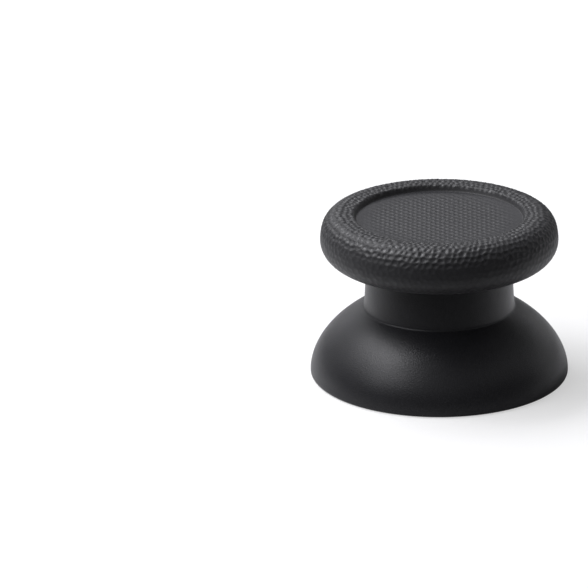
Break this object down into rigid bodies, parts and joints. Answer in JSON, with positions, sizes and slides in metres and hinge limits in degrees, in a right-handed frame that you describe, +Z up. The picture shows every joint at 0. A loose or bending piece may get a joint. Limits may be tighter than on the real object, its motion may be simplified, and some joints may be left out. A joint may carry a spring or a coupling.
{
  "type": "thumbstick cap",
  "caption": "Thumbstick cap: hollow dome with neck and keyed socket, and a soft round grip with rolled rim and knurled recessed disc.",
  "frame": {"origin": "centre of the circle that the dome's foot stands on", "axes": "+Z up along the axis of the cap, from the open dome towards the knurled disc; +X towards the middle of one round side of the socket, +Y towards one of its flats"},
  "size_m": [0.02, 0.02, 0.013],
  "materials": {
    "cap_body": "satin black moulded plastic",
    "grip_top": "matte soft overmould with fine pebble grain on the crest"
  },
  "bodies": {
    "root": {"cap_body": "cap_body", "grip_top": "grip_top"}
  },
  "joints": []
}
